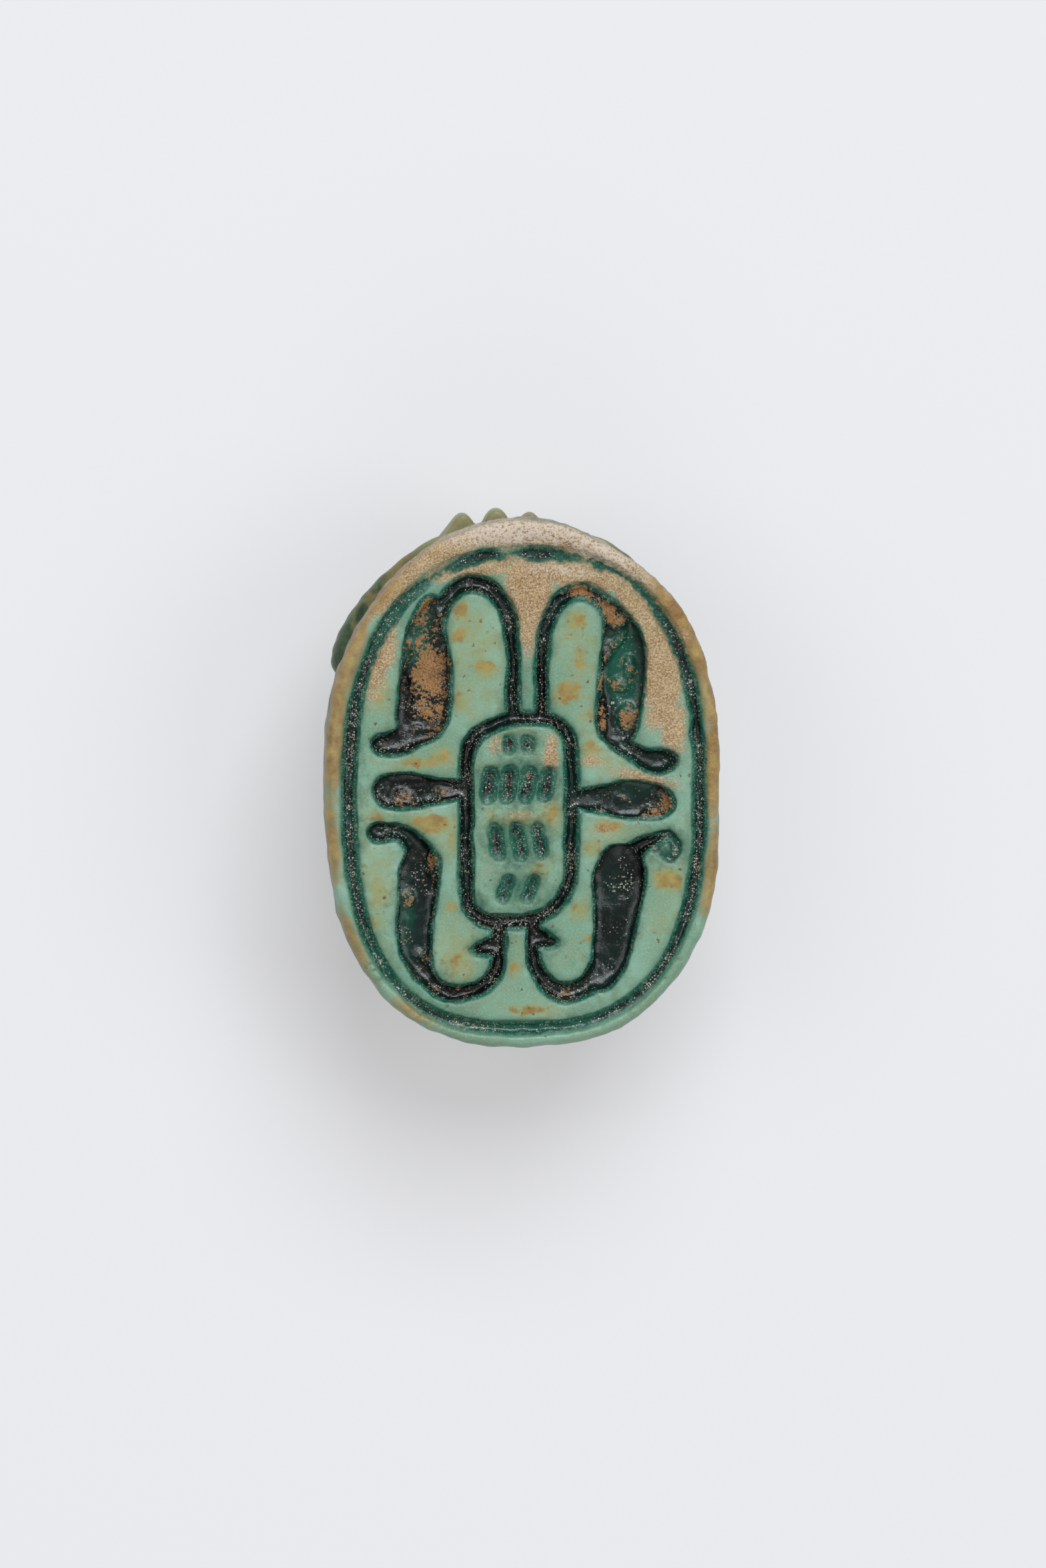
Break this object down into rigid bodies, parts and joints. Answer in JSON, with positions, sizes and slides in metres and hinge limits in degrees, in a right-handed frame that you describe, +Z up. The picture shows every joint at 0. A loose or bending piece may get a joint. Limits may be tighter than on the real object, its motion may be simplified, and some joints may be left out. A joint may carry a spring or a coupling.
{
  "type": "scarab amulet",
  "caption": "Small glazed stone beetle lying on its back, drilled lengthwise, with a carved oval seal face of rearing cobras round an upright ring.",
  "frame": {"origin": "on the surface that the back rests on, under the middle of the oval base plate's bounding box", "axes": "+Z up, which is the outward normal of the seal face; +Y towards the beetle's head; +X to the right of the seal face as it is looked at with the head up"},
  "size_m": [0.0133, 0.018, 0.008],
  "materials": {
    "glazed_steatite": "worn turquoise green glaze over carved soapstone, blackish in the cuts, with brown soil left in the deepest ones"
  },
  "bodies": {
    "root": {"scarab": "glazed_steatite"}
  },
  "joints": []
}
